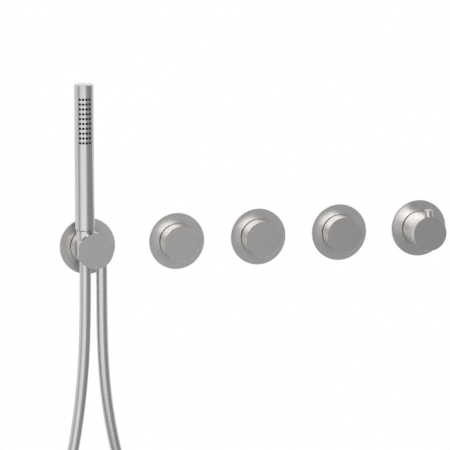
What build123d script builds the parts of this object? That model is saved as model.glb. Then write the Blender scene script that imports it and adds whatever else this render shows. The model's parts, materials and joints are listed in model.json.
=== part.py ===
from build123d import *
from itertools import cycle
from math import cos, pi, radians, sin, tan
import os

# Concealed shower mixer: a row of three stop valves and a temperature control on one in-wall rail,
# with a hand shower in a holder that is also its water outlet. Millimetres.
# X runs right along the wall, Y goes into the wall from its finished surface, Z is up.
# The origin is on the finished wall, on the axis of the temperature control.

# Row of controls
holder_pitch = 114.3
valve_pitch = 105.0
mixer_pitch = 104.0

# Wall plates
plate_diameter = 70.0
plate_thickness = 4.0
plate_edge = 0.6
plate_rim = 4.0
plate_recess = 2.0
plate_play = 0.1
shadow_gap = 2.0

# Knobs
knob_diameter = 44.6
knob_chamfer = 0.3
knob_wall = 2.8
valve_knob_length = 21.0
valve_knob_face = 5.0
temperature_knob_diameter = 42.8
temperature_knob_wall = 2.3
temperature_knob_length = 43.5
temperature_knob_face = 3.0
hub_diameter = 16.0
hub_cover = 2.5
valve_hub_length = 13.0
temperature_hub_length = 19.5

# Splined spindle ends and the grub screws that hold the knobs
spline_teeth = 20
spline_tip = 4.0
spline_root = 3.5
spline_play = 0.06
spline_end_gap = 0.5
screw_radius = 2.05
screw_length = 5.0
screw_play = 0.05
screw_socket = 2.5
screw_socket_depth = 2.0
screw_access = 2.6

# Valve bodies in the wall
neck_front = 12.0
neck_length = 10.0
neck_wall = 3.0
chamber_diameter = 28.0
body_diameter = 38.0
rail_clearance = 1.5
back_wall = 6.0
seat_depth = 50.0
inlet_diameter = 18.0
manifold_depth = 66.0
outlet_depth = 36.0
outlet_rise = 36.0
boss_diameter = 25.0
boss_reach = 28.0
boss_chamfer = 1.2
socket_depth = 12.0
thread_diameter = 18.6
thread_length = 15.0
thread_relief = 15.0

# Sleeves from the bodies through the wall into the knobs
sleeve_wall = 1.45
sleeve_play = 0.05
sleeve_front = -9.0

# Tubes between the bodies
tube_diameter = 18.0
tube_wall = 1.5
tube_play = 0.05

# Headworks: quarter-turn ceramic disc valves
nut_flats = 27.0
nut_thickness = 4.0
headwork_play = 0.1
headwork_front = -4.0
headwork_nose = 7.5
headwork_wall = 1.55
journal_radius = 4.5
running_play = 0.06
disc_radius = 10.5
disc_thickness = 4.0
disc_film = 0.05
disc_port_radius = 2.8
disc_port_circle = 6.0
driver_radius = 7.0
driver_thickness = 5.0
tongue_width = 3.0
tongue_depth = 1.4
tongue_play = 0.1
seal_thickness = 4.0
seal_width = 1.2
window_width = 9.0
window_length = 6.0

# Temperature cartridge
cartridge_nose_front = -24.0
cartridge_nose = 9.0
cartridge_bore = 11.6
cartridge_head = 6.0
spindle_radius = 6.0
collar_radius = 8.0
collar_thickness = 2.8
tail_radius = 5.0
tail_gap = 2.0
nut_wall = 2.5
nut_length = 12.0
nut_floor = 2.0
nut_gap = 2.0
hot_depth = 31.0
cold_depth = 47.0
port_width = 6.0
groove_depth = 1.5
groove_margin = 1.0
spool_wall = 2.0
spool_web = 2.0
web_port_radius = 1.7
web_port_circle = 7.0
web_ports = 6
wax_radius = 4.6
wax_flange = 6.2
wax_flange_thickness = 2.0
pin_radius = 1.6
pin_length = 4.0
wax_reach = 2.0
base_thickness = 6.0
base_hole_play = 0.6
mixed_depth = 62.0
spring_wire = 1.3
spring_radius = 8.2
spring_turns = 4
spring_seat = 0.2

# Stop button on the temperature knob, its catch and the limit ring that it meets
button_radius = 5.0
button_out = 42.5
button_top = 29.2
button_play = 0.15
button_travel = 2.5
button_flange_half = 5.8
button_flange_top = 17.4
button_flange_thickness = 2.0
catch_half_width = 2.2
catch_foot = 6.0
catch_back_gap = 2.0
catch_wall_gap = 0.6
button_spring_radius = 2.6
button_spring_wire = 0.8
button_spring_turns = 4
ring_thickness = 3.0
ring_inner = 16.0
ring_skirt = 6.0
tooth_length = 8.0
tooth_angle = 20.0
tooth_gap_angle = 8.5
cold_turn = 160.0

# Mixer inlets
inlet_reach = 30.0
inlet_drop = 36.0
inlet_boss = 26.0
inlet_top = 11.0
arm_radius = 8.5
arm_bore = 6.0
relief_rise = 1.0
check_valve_length = 14.0
check_valve_bore = 9.0

# Mounting rail and its screws
rail_thickness = 2.0
rail_half_height = 28.0
rail_lip = 12.0
rail_bend = 2.5
rail_overhang = 40.0
fixing_hole = 6.5
fixing_rise = 18.0
rail_screw_radius = 2.0
rail_screw_pitch = 26.0
rail_screw_reach = 5.0
rail_screw_head = 4.0
rail_screw_head_height = 2.6
rail_hole_play = 0.6

# Hand shower holder
holder_length = 37.5
strand_offset = 10.6
stick_offset = 10.1
strand_out = 28.7
slot_half_width = 7.7
seat_play = 0.3
holder_boss_back = 2.0
nipple_radius = 9.2
nipple_bore = 6.5
nipple_play = 0.06
nipple_front = -14.0
passage_radius = 4.5
passage_offset = 6.4
port_top = 5.0
ferrule_radius = 7.9
ferrule_play = 0.1
ferrule_bottom = -12.0
ferrule_cap = 3.0
holder_screw_out = 9.5

# Outlet elbow behind the holder and its bracket
elbow_front = 14.0
elbow_back = 54.0
elbow_diameter = 28.0
bracket_half_width = 22.0
bracket_half_height = 16.0
bracket_thickness = 2.0
bracket_foot = 13.0

# Hand shower
tube_bottom = 25.5
tube_top = 202.5
stick_diameter = 24.0
stick_wall = 1.2
stick_play = 0.05
groove_edge = 0.5
cap_height = 3.0
cap_edge = 0.5
cap_spigot = 7.0
connector_length = 12.0
connector_thread = 14.0
spray_rows = 10
spray_columns = 4
spray_pitch = 5.98
spray_top = 188.1
spray_step = 20.1
spray_turn = -9.6
spray_hole = 1.35
nozzle_radius = 1.2
nozzle_proud = 0.1
insert_thickness = 1.5
insert_margin = 6.0
insert_arc = 90.0

# Hose and its conical nut
hose_radius = 7.0
hose_play = 0.15
cone_top_radius = 10.8
cone_bottom_radius = 10.0
cone_top = 24.8
cone_bottom = -9.6
cone_thread_bottom = 11.0
hose_end = 10.0
hose_bend_share = 0.45
hose_right = [
    (10.6, -46.0), (10.7, -108.0), (12.8, -158.0), (17.9, -206.0), (27.4, -256.0), (42.0, -308.0),
    (61.0, -367.0), (79.0, -432.0), (82.0, -502.0), (60.0, -540.0), (22.0, -562.0),
]
hose_left = [
    (10.2, -46.0), (11.3, -108.0), (14.4, -158.0), (19.9, -206.0), (28.2, -256.0), (42.0, -308.0),
    (61.0, -367.0), (79.0, -432.0), (82.0, -502.0), (60.0, -540.0), (22.0, -562.0),
]

# Places worked out from the sizes above
temperature_x = 0.0
valve_xs = [-(mixer_pitch + valve_pitch * n) for n in (2, 1, 0)]
holder_x = valve_xs[0] - holder_pitch
plate_front = -plate_thickness
knob_back = plate_front - shadow_gap
knob_radius = knob_diameter / 2
knob_bore = knob_radius - knob_wall
temperature_knob_radius = temperature_knob_diameter / 2
temperature_knob_bore = temperature_knob_radius - temperature_knob_wall
chamber = chamber_diameter / 2
neck_radius = chamber + neck_wall
neck_shoulder = neck_front + neck_length
body_radius = body_diameter / 2
body_back = manifold_depth + boss_diameter / 2 + rail_clearance
sleeve_inner = neck_radius + sleeve_play
sleeve_outer = sleeve_inner + sleeve_wall
tube_radius = tube_diameter / 2
socket_radius = tube_radius + tube_play
bore_radius = tube_radius - tube_wall
socket_end = boss_reach - socket_depth
thread_radius = thread_diameter / 2
strand_y = -strand_out
elbow_thread_end = elbow_front + thread_length


def bar_x(radius, start, end, y=0, z=0):
    """Round bar along X."""
    return Pos((start + end) / 2, y, z) * Rot(0, 90, 0) * Cylinder(radius, abs(end - start))


def bar_y(radius, start, end, x=0, z=0):
    """Round bar along Y."""
    return Pos(x, (start + end) / 2, z) * Rot(90, 0, 0) * Cylinder(radius, abs(end - start))


def bar_z(radius, start, end, x=0, y=0):
    """Round bar along Z."""
    return Pos(x, y, (start + end) / 2) * Cylinder(radius, abs(end - start))


def block(x, y, z):
    """Box between pairs of coordinates."""
    centre = [(low + high) / 2 for low, high in (x, y, z)]
    return Pos(*centre) * Box(*[abs(high - low) for low, high in (x, y, z)])


def turned(*profile):
    """Revolve a half profile of (radius, depth) points about Y."""
    return revolve(make_face(Polyline(*profile, close=True)), Axis.Y)


def turned_z(*profile):
    """Revolve a half profile of (radius, height) points about Z."""
    points = [(radius, 0, height) for radius, height in profile]
    return revolve(make_face(Polyline(*points, close=True)), Axis.Z)


def hexagon(flats, start, end):
    """Hexagonal bar along Y with flats above and below."""
    outline = Plane.XZ * RegularPolygon(flats / 2, 6, major_radius=False, rotation=30)
    return Pos(0, start, 0) * extrude(outline, end - start, dir=(0, 1, 0))


def splined(root, tip, start, end):
    """Bar along Y with sharp straight splines."""
    angles = [pi * n / spline_teeth for n in range(2 * spline_teeth)]
    ring = [(r * cos(a), start, r * sin(a)) for a, r in zip(angles, cycle((tip, root)))]
    return extrude(make_face(Polyline(*ring, close=True)), end - start, dir=(0, 1, 0))


def coil(radius, wire, turns, start, end):
    """Round-wire compression spring along Z between two heights."""
    height = end - start - wire
    path = Helix(height / turns, height, radius, center=(0, 0, start + wire / 2))
    section = Plane(origin=path @ 0, z_dir=path % 0) * Circle(wire / 2)
    return sweep(section, path, is_frenet=True)


def wall_plate():
    """Round plate with a hollow back and a hole for its sleeve."""
    radius, hole = plate_diameter / 2, sleeve_outer + plate_play
    return turned(
        (hole, plate_front), (radius - plate_edge, plate_front), (radius, plate_front + plate_edge),
        (radius, 0), (radius - plate_rim, 0), (radius - plate_rim, -plate_recess), (hole, -plate_recess),
    )


def grub_screw():
    """Socket set screw along Z with its point at the origin, pointing up."""
    socket = extrude(RegularPolygon(screw_socket / 2, 6, major_radius=False), screw_socket_depth)
    return bar_z(screw_radius, -screw_length, 0) - Pos(0, 0, -screw_length) * socket


def knob(radius, bore, length, face, hub_length):
    """Turned knob: chamfered face, hollow back, splined hub and the hole for its grub screw."""
    front, inner = knob_back - length, knob_back - length + face
    hub, hub_end = hub_diameter / 2, knob_back - length + face + hub_length
    shell = turned(
        (0, front), (radius - knob_chamfer, front), (radius, front + knob_chamfer),
        (radius, knob_back), (bore, knob_back), (bore, inner), (hub, inner),
        (hub, hub_end), (0, hub_end),
    )
    splines = splined(spline_root + spline_play, spline_tip + spline_play, inner + hub_cover, hub_end)
    middle = (inner + hub_cover + hub_end) / 2
    access = Pos(0, middle, 0) * bar_z(screw_access, -radius, -hub)
    tapped = Pos(0, middle, 0) * bar_z(screw_radius + screw_play, -hub, 0)
    screw = Pos(0, middle, -spline_tip - spline_play) * grub_screw()
    return shell - splines - access - tapped, screw


def spline_span(length, face, hub_length):
    """Where a spindle's splines start and end in its knob's hub."""
    inner = knob_back - length + face
    return inner + hub_cover + spline_end_gap, inner + hub_length


def sleeve():
    """Tube on a body's neck that carries the wall plate and runs into the knob."""
    span = (sleeve_front, neck_shoulder)
    return bar_y(sleeve_outer, *span) - bar_y(sleeve_inner, *span)


def barrel(floor, grooves=()):
    """Forged body: barrel with a neck, a cartridge chamber, an inlet behind it and screw holes."""
    outside = turned(
        (0, neck_front), (neck_radius, neck_front), (neck_radius, neck_shoulder),
        (body_radius, neck_shoulder), (body_radius, body_back - boss_chamfer),
        (body_radius - boss_chamfer, body_back), (0, body_back),
    )
    inside = bar_y(chamber, neck_front, floor) + bar_y(inlet_diameter / 2, floor, body_back - back_wall)
    for middle in grooves:
        half = port_width / 2 + groove_margin
        inside += bar_y(chamber + groove_depth, middle - half, middle + half)
    for side in (-1, 1):
        hole_z = side * rail_screw_pitch / 2
        inside += bar_y(rail_screw_radius + screw_play, body_back - rail_screw_reach, body_back, z=hole_z)
    return outside, inside


def boss_x(side, depth):
    """Boss along X at a depth and the stepped socket in it, for a tube end."""
    outside = bar_x(boss_diameter / 2, 0, side * boss_reach, y=depth)
    rim = outside.edges().filter_by(GeomType.CIRCLE).sort_by(Axis.X)[-1 if side > 0 else 0]
    socket = bar_x(socket_radius, side * socket_end, side * boss_reach, y=depth)
    return chamfer(rim, boss_chamfer), socket + bar_x(bore_radius, 0, side * socket_end, y=depth)


def outlet_up():
    """Threaded outlet boss along +Z with hexagonal flats at its mouth."""
    flats = extrude(RegularPolygon(nut_flats / 2, 6, major_radius=False), outlet_rise - body_radius)
    outside = bar_z(boss_diameter / 2, 0, body_radius) + Pos(0, 0, body_radius) * flats
    thread = bar_z(thread_radius, outlet_rise - thread_length, outlet_rise)
    passage = bar_z(thread_relief / 2, 0, outlet_rise - thread_length)
    return Pos(0, outlet_depth, 0) * outside, Pos(0, outlet_depth, 0) * (thread + passage)


def valve_body(number):
    """Stop-valve body: valve 1 feeds the hand shower to the left, the others have an outlet upwards."""
    outside, inside = barrel(seat_depth)
    ports = [boss_x(1, manifold_depth)]
    if number == 1:
        ports.append(boss_x(-1, outlet_depth))
    else:
        ports += [boss_x(-1, manifold_depth), outlet_up()]
    for boss, socket in ports:
        outside += boss
        inside += socket
    return outside - inside


# Depths inside a stop valve, from the seat outwards
seal_front = seat_depth - seal_thickness
fixed_front = seal_front - disc_thickness
moving_back = fixed_front - disc_film
moving_front = moving_back - disc_thickness
driver_front = moving_front - driver_thickness
headwork_back = seal_front + seal_thickness / 2


def headwork():
    """Headwork housing: hexagonal nut, threaded part, bore for the spindle, disc chamber and windows."""
    radius, bore = chamber - headwork_play, journal_radius + running_play
    inner = disc_radius + headwork_play
    chamber_front = driver_front - disc_film
    outside = turned(
        (0, headwork_front), (headwork_nose, headwork_front), (headwork_nose, neck_front),
        (radius, neck_front), (radius, neck_shoulder), (inner + headwork_wall, neck_shoulder),
        (inner + headwork_wall, headwork_back), (0, headwork_back),
    )
    nut = hexagon(nut_flats, neck_front - nut_thickness, neck_front)
    inside = bar_y(bore, headwork_front, chamber_front) + bar_y(inner, chamber_front, headwork_back)
    middle = chamber_front + window_length / 2
    for turn in (0, 90):
        reach = (-body_radius, body_radius)
        depths = (middle - window_length / 2, middle + window_length / 2)
        inside += Rot(0, turn, 0) * block(reach, depths, (-window_width / 2, window_width / 2))
    return outside + nut - inside


def valve_spindle():
    """Spindle: splined end, journal, driver and the tongue that turns the moving disc."""
    start, end = spline_span(valve_knob_length, valve_knob_face, valve_hub_length)
    shaft = splined(spline_root, spline_tip, start, end) + bar_y(journal_radius, end, driver_front)
    driver = bar_y(driver_radius, driver_front, moving_front)
    tongue = block(
        (-driver_radius, driver_radius), (moving_front, moving_front + tongue_depth),
        (-tongue_width / 2, tongue_width / 2),
    )
    return shaft + driver + (tongue & bar_y(driver_radius, moving_front, moving_front + tongue_depth))


def ceramic_disc(front, turn):
    """Ceramic disc with two ports; at rest the two discs' ports are a quarter turn apart."""
    disc = bar_y(disc_radius, front, front + disc_thickness)
    for side in (-1, 1):
        port = bar_y(disc_port_radius, front, front + disc_thickness, x=side * disc_port_circle)
        disc -= Rot(0, turn, 0) * port
    return disc


def moving_disc():
    """Moving disc with the groove for the spindle's tongue."""
    groove = block(
        (-driver_radius - tongue_play, driver_radius + tongue_play),
        (moving_front, moving_front + tongue_depth + tongue_play),
        (-tongue_width / 2 - tongue_play, tongue_width / 2 + tongue_play),
    )
    return ceramic_disc(moving_front, 90) - groove


def seat_seal():
    """Rubber ring between the fixed disc and the body's seat."""
    outer = disc_radius
    return bar_y(outer, seal_front, seat_depth) - bar_y(outer - seal_width, seal_front, seat_depth)


# Depths inside the temperature cartridge
cartridge_radius = chamber - headwork_play
collar_front = neck_front + cartridge_head - collar_thickness
bore_front = neck_front + cartridge_head
nut_front = bore_front + nut_gap
nut_back = nut_front + nut_length
tail_end = nut_back - nut_floor - tail_gap
wax_front = nut_back + pin_length
web_front = wax_front + wax_flange_thickness
web_back = web_front + spool_web
spool_front = hot_depth + port_width / 2 - groove_margin
spool_back = cold_depth - port_width / 2 + groove_margin
base_front = mixed_depth - base_thickness
wax_back = base_front + wax_reach
spool_radius = cartridge_bore - running_play


def port_windows(middle):
    """Four windows through the cartridge wall at one depth."""
    depths = (middle - port_width / 2, middle + port_width / 2)
    window = block((-chamber, chamber), depths, (-window_width / 2, window_width / 2))
    return window + Rot(0, 90, 0) * window


def cartridge_housing():
    """Cartridge housing: nose, hexagonal nut, head and the bored sleeve with hot and cold windows."""
    outside = turned(
        (0, cartridge_nose_front), (cartridge_nose, cartridge_nose_front), (cartridge_nose, neck_front),
        (cartridge_radius, neck_front), (cartridge_radius, base_front + base_thickness / 2),
        (0, base_front + base_thickness / 2),
    )
    nut = hexagon(nut_flats, neck_front - nut_thickness, neck_front)
    inside = bar_y(spindle_radius + running_play, cartridge_nose_front, bore_front)
    inside += bar_y(collar_radius + headwork_play, collar_front - headwork_play, bore_front)
    inside += bar_y(cartridge_bore, bore_front, mixed_depth)
    return outside + nut - inside - port_windows(hot_depth) - port_windows(cold_depth)


def cartridge_base():
    """Base that closes the cartridge, carries the return spring and lets the mixed water out."""
    ring = bar_y(cartridge_bore - headwork_play, base_front, mixed_depth)
    ports = bar_y(wax_radius + base_hole_play, base_front, mixed_depth)
    return ring - ports


def temperature_spindle():
    """Spindle: splined end, journal, retaining collar and the threaded tail that drives the nut."""
    start, end = spline_span(temperature_knob_length, temperature_knob_face, temperature_hub_length)
    shaft = splined(spline_root, spline_tip, start, end) + bar_y(spindle_radius, end, collar_front)
    collar = bar_y(collar_radius, collar_front, bore_front)
    return shaft + collar + bar_y(tail_radius, bore_front, tail_end)


def drive_nut():
    """Cup-shaped nut on the spindle's tail that pushes the wax element."""
    bore = tail_radius + running_play
    return bar_y(bore + nut_wall, nut_front, nut_back) - bar_y(bore, nut_front, nut_back - nut_floor)


def wax_element():
    """Wax element: pin, flange that bears on the spool's web and the sensing body behind it."""
    return turned(
        (0, nut_back), (pin_radius, nut_back), (pin_radius, wax_front), (wax_flange, wax_front),
        (wax_flange, web_front), (wax_radius, web_front), (wax_radius, wax_back), (0, wax_back),
    )


def mixing_spool():
    """Sliding spool between the hot and cold windows, on a pierced web round the wax element."""
    inner = spool_radius - spool_wall
    tube = bar_y(spool_radius, spool_front, spool_back) - bar_y(inner, spool_front, spool_back)
    web = bar_y(inner, web_front, web_back) - bar_y(wax_radius + running_play, web_front, web_back)
    for n in range(web_ports):
        angle = 2 * pi * n / web_ports
        x, z = web_port_circle * cos(angle), web_port_circle * sin(angle)
        web -= bar_y(web_port_radius, web_front, web_back, x=x, z=z)
    return tube + web


def mixer_body():
    """Mixer body: hot inlet on the left, cold on the right, mixed water out to the left behind them."""
    outside, inside = barrel(mixed_depth, grooves=(hot_depth, cold_depth))
    boss, socket = boss_x(-1, manifold_depth)
    outside, inside = outside + boss, inside + socket
    for side, depth in ((-1, hot_depth), (1, cold_depth)):
        reach = side * inlet_reach
        outside += bar_x(arm_radius, 0, reach, y=depth)
        outside += Pos(reach, depth, 0) * turned_z(
            (0, -inlet_drop), (inlet_boss / 2 - boss_chamfer, -inlet_drop),
            (inlet_boss / 2, -inlet_drop + boss_chamfer), (inlet_boss / 2, inlet_top - inlet_boss / 4),
            (inlet_boss / 4, inlet_top), (0, inlet_top),
        )
        inside += bar_x(arm_bore, 0, reach, y=depth)
        inside += bar_z(thread_radius, -inlet_drop, thread_length - inlet_drop, x=reach, y=depth)
        relief = (thread_length - inlet_drop, arm_bore + relief_rise)
        inside += bar_z(thread_relief / 2, *relief, x=reach, y=depth)
    return outside - inside


def check_valves():
    """Two check-valve inserts above the inlet threads."""
    outer, bore = thread_relief / 2 - headwork_play, check_valve_bore / 2
    bottom = thread_length - inlet_drop
    top = bottom + check_valve_length
    insert = turned_z(
        (bore, bottom), (outer, bottom), (outer, top - outer / 2), (outer / 2, top), (0, top),
        (0, top - outer / 2), (bore, top - outer),
    )
    places = ((-inlet_reach, hot_depth), (inlet_reach, cold_depth))
    return Compound([Pos(x, y, 0) * insert for x, y in places])


def limit_ring():
    """Ring on the front of the sleeve with a hot and a cold stop tooth for the button's catch."""
    ring = bar_y(sleeve_outer, sleeve_front - ring_thickness, sleeve_front)
    ring += bar_y(sleeve_inner - sleeve_play, sleeve_front, sleeve_front + ring_skirt)
    ring -= bar_y(ring_inner, sleeve_front - ring_thickness, sleeve_front + ring_skirt)
    front, back = sleeve_front - ring_thickness - tooth_length, sleeve_front - ring_thickness
    corners = [
        (0, front, sleeve_inner), (0, front, sleeve_outer),
        (0, back, sleeve_outer), (0, back, sleeve_inner),
    ]
    tooth = revolve(make_face(Polyline(*corners, close=True)), Axis.Y, tooth_angle)
    for start in (-tooth_gap_angle - tooth_angle, cold_turn + tooth_gap_angle):
        ring += Rot(0, start, 0) * tooth
    return ring


# The button's catch reaches back to the stop teeth, under the knob's wall
catch_bottom = button_flange_top - button_flange_thickness
catch_back = sleeve_front - ring_thickness - catch_back_gap
catch_top = temperature_knob_bore - catch_wall_gap


def stop_button():
    """Stop button: round head, flange inside the knob and the catch that meets the stop teeth."""
    head = bar_z(button_radius, button_flange_top, button_top, y=-button_out)
    head = chamfer(head.edges().filter_by(GeomType.CIRCLE).sort_by(Axis.Z)[-1], cap_edge)
    front = knob_back - temperature_knob_length + temperature_knob_face + catch_wall_gap
    flange_width, heights = (-button_flange_half, button_flange_half), (catch_bottom, button_flange_top)
    flange = block(flange_width, (front, -button_out + button_radius), heights)
    width = (-catch_half_width, catch_half_width)
    arm = block(width, (-button_out, catch_back), heights)
    foot = block(width, (catch_back - catch_foot, catch_back), (catch_bottom, catch_top))
    return head + flange + arm + foot


def button_spring():
    """Spring between the knob's hub and the button's flange."""
    spring = coil(
        button_spring_radius, button_spring_wire, button_spring_turns, hub_diameter / 2 + spring_seat,
        catch_bottom - spring_seat,
    )
    return Pos(0, -button_out, 0) * spring


def return_spring():
    """Spring between the cartridge base and the spool's web."""
    start, end = web_back + spring_seat, base_front - spring_seat
    return Rot(-90, 0, 0) * coil(spring_radius, spring_wire, spring_turns, start, end)


def temperature_knob():
    """Temperature knob: longer and slimmer than the valves' knobs, with the hole for the stop button."""
    body, screw = knob(
        temperature_knob_radius, temperature_knob_bore, temperature_knob_length, temperature_knob_face,
        temperature_hub_length,
    )
    hole_bottom = button_flange_top - button_travel - catch_wall_gap
    hole = bar_z(button_radius + button_play, hole_bottom, temperature_knob_radius, y=-button_out)
    return body - hole, screw


def link_tube(start, end, depth):
    """Tube along X that seats in two sockets."""
    return bar_x(tube_radius, start, end, y=depth) - bar_x(bore_radius, start, end, y=depth)


def outlet_elbow():
    """Elbow that turns the feed tube's water towards the holder."""
    outside = bar_y(elbow_diameter / 2, elbow_front, elbow_back)
    outside = chamfer(outside.edges().filter_by(GeomType.CIRCLE), boss_chamfer)
    inside = bar_y(thread_radius, elbow_front, elbow_thread_end)
    inside += bar_y(bore_radius, elbow_thread_end, outlet_depth + bore_radius)
    boss, socket = boss_x(1, outlet_depth)
    return outside + boss - inside - socket


# Where the rail is screwed to the bodies and the bracket, and to the masonry
bracket_screw_x = bracket_half_width + bracket_foot / 2
screw_places = [
    (x, side * rail_screw_pitch / 2) for x in (*valve_xs, temperature_x) for side in (-1, 1)
] + [(holder_x + side * bracket_screw_x, 0) for side in (-1, 1)]
fixing_xs = ((holder_x + valve_xs[0]) / 2, (valve_xs[2] + temperature_x) / 2)


def elbow_bracket():
    """Folded hat bracket that carries the elbow on the rail."""
    half, thick, rise = bracket_half_width, bracket_thickness, bracket_half_height
    heights = (-rise, rise)
    bracket = block((-half, half), (elbow_back, elbow_back + thick), heights)
    for side in (-1, 1):
        inner, outer = side * (half - thick), side * half
        bracket += block((inner, outer), (elbow_back, body_back), heights)
        foot = (inner, side * (half + bracket_foot))
        bracket += block(foot, (body_back - thick, body_back), heights)
        bracket -= bar_y(
            rail_screw_radius + screw_play, body_back - thick, body_back, x=side * bracket_screw_x,
        )
    return bracket


def mounting_rail():
    """Folded steel rail behind the bodies, with lips back to the masonry and holes for wall screws."""
    back = body_back + rail_lip
    outer, inner = rail_half_height, rail_half_height - rail_thickness
    left, right = holder_x - rail_overhang, temperature_x + rail_overhang
    corners = [
        (left, body_back, -outer), (left, body_back, outer), (left, back, outer), (left, back, inner),
        (left, body_back + rail_thickness, inner), (left, body_back + rail_thickness, -inner),
        (left, back, -inner), (left, back, -outer),
    ]
    rail = extrude(make_face(Polyline(*corners, close=True)), right - left, dir=(1, 0, 0))
    bends = rail.edges().filter_by(Axis.X).group_by(Axis.Y)[0]
    rail = fillet(bends, rail_bend)
    for x, z in screw_places:
        rail -= bar_y(rail_screw_radius + rail_hole_play, body_back, body_back + rail_thickness, x=x, z=z)
    for x in fixing_xs:
        for side in (-1, 1):
            hole_z = side * fixing_rise
            rail -= bar_y(fixing_hole / 2, body_back, body_back + rail_thickness, x=x, z=hole_z)
    return rail


def rail_screws():
    """Pan-head screws from behind the rail into the bodies and the bracket's feet."""
    point, back = body_back - rail_screw_reach + screw_play, body_back + rail_thickness
    head_back = back + rail_screw_head_height
    screw = turned(
        (0, point), (rail_screw_radius, point), (rail_screw_radius, back), (rail_screw_head, back),
        (rail_screw_head, (back + head_back) / 2), (rail_screw_radius, head_back), (0, head_back),
    )
    return Compound([Pos(x, 0, z) * screw for x, z in screw_places])


def cone_radius(height):
    """The hose nut's outer radius at a height."""
    share = (height - cone_bottom) / (cone_top - cone_bottom)
    return cone_bottom_radius + share * (cone_top_radius - cone_bottom_radius)


def holder_body():
    """Round holder: conical seat open to the left for the hose nut, water outlet on the right below."""
    front = knob_back - holder_length
    body = turned(
        (0, front), (knob_radius - knob_chamfer, front), (knob_radius, front + knob_chamfer),
        (knob_radius, knob_back), (sleeve_outer, knob_back), (sleeve_outer, holder_boss_back),
        (0, holder_boss_back),
    )
    top, hose_way = knob_radius + cone_top, hose_radius + seat_play
    seat = turned_z(
        (0, cone_bottom), (cone_radius(cone_bottom) + seat_play, cone_bottom),
        (cone_radius(top) + seat_play, top), (0, top),
    )
    way = bar_z(hose_way, -knob_radius, cone_bottom)
    left = (-knob_radius, 0)
    seat += block(left, (-slot_half_width, slot_half_width), (cone_bottom, top))
    way += block(left, (-hose_way, hose_way), (-knob_radius, cone_bottom))
    body -= Pos(-stick_offset, strand_y, 0) * (seat + way)
    body -= bar_z(ferrule_radius + ferrule_play, -knob_radius, port_top, x=strand_offset, y=strand_y)
    body -= bar_y(nipple_radius + nipple_play, nipple_front, holder_boss_back)
    body -= bar_y(passage_radius, strand_y, nipple_front, x=passage_offset)
    return body - bar_z(screw_radius + screw_play, -knob_radius, 0, y=-holder_screw_out)


def outlet_nipple():
    """Threaded nipple from the elbow through the wall into the holder."""
    span = (nipple_front, elbow_thread_end)
    return bar_y(nipple_radius, *span) - bar_y(nipple_bore, *span)


def stick_point(height=0):
    """The hand shower's axis at a height."""
    return Pos(holder_x - stick_offset, strand_y, height)


stick_radius = stick_diameter / 2
stick_bore = stick_radius - stick_wall
spray_rows_z = [spray_top - spray_pitch * n for n in range(spray_rows)]
spray_turns = [spray_turn + spray_step * (n - (spray_columns - 1) / 2) for n in range(spray_columns)]


def spray_rods(radius, inner, outer):
    """One short rod for each spray hole, from an inner to an outer radius on the hand shower's front."""
    return [
        Rot(0, 0, turn) * bar_y(radius, -outer, -inner, z=height)
        for turn in spray_turns for height in spray_rows_z
    ]


def hand_shower_tube():
    """Plain round tube with the spray holes through its front and a bevelled lower edge."""
    tube = turned_z(
        (stick_bore, tube_bottom), (stick_radius - groove_edge, tube_bottom),
        (stick_radius, tube_bottom + groove_edge), (stick_radius, tube_top), (stick_bore, tube_top),
    )
    return tube - spray_rods(spray_hole, stick_bore - insert_thickness, stick_radius + stick_wall)


def nozzle_insert():
    """Soft strip inside the tube with a nozzle in each spray hole."""
    outer, inner = stick_bore - stick_play, stick_bore - stick_play - insert_thickness
    low, high = spray_rows_z[-1] - insert_margin, spray_top + insert_margin
    corners = [(0, -outer, low), (0, -inner, low), (0, -inner, high), (0, -outer, high)]
    strip = revolve(make_face(Polyline(*corners, close=True)), Axis.Z, insert_arc)
    strip = Rot(0, 0, spray_turn - insert_arc / 2) * strip
    return strip + spray_rods(nozzle_radius, outer - insert_thickness / 2, stick_radius + nozzle_proud)


def hand_shower_cap():
    """End cap with a spigot in the tube."""
    top, radius = tube_top + cap_height, stick_bore - stick_play
    return turned_z(
        (0, tube_top - cap_spigot), (radius, tube_top - cap_spigot), (radius, tube_top),
        (stick_radius, tube_top), (stick_radius, top - cap_edge), (stick_radius - cap_edge, top), (0, top),
    )


def hand_shower_connector():
    """Threaded inlet of the hand shower, plugged into the tube."""
    plug, thread = stick_bore - stick_play, thread_radius - headwork_play
    body = bar_z(plug, tube_bottom, tube_bottom + connector_length)
    body += bar_z(thread, tube_bottom - connector_thread, tube_bottom)
    return body - bar_z(nipple_bore, tube_bottom - connector_thread, tube_bottom + connector_length)


def hose_cone_nut():
    """Conical nut that joins the hose to the hand shower and rests in the holder's seat."""
    hole = hose_radius + hose_play
    return turned_z(
        (hole, cone_bottom), (cone_bottom_radius, cone_bottom),
        (cone_radius(cone_top - groove_edge), cone_top - groove_edge),
        (cone_top_radius - groove_edge, cone_top), (thread_radius, cone_top),
        (thread_radius, cone_thread_bottom), (hole, cone_thread_bottom),
    )


def hose_ferrule():
    """Crimped ferrule on the hose's outlet end, inside the holder."""
    hole, mouth, stop = hose_radius + hose_play, bore_radius - tube_wall, port_top - ferrule_cap
    return turned_z(
        (mouth, port_top), (ferrule_radius, port_top), (ferrule_radius, ferrule_bottom),
        (hole, ferrule_bottom), (hole, stop), (mouth, stop),
    )


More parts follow.
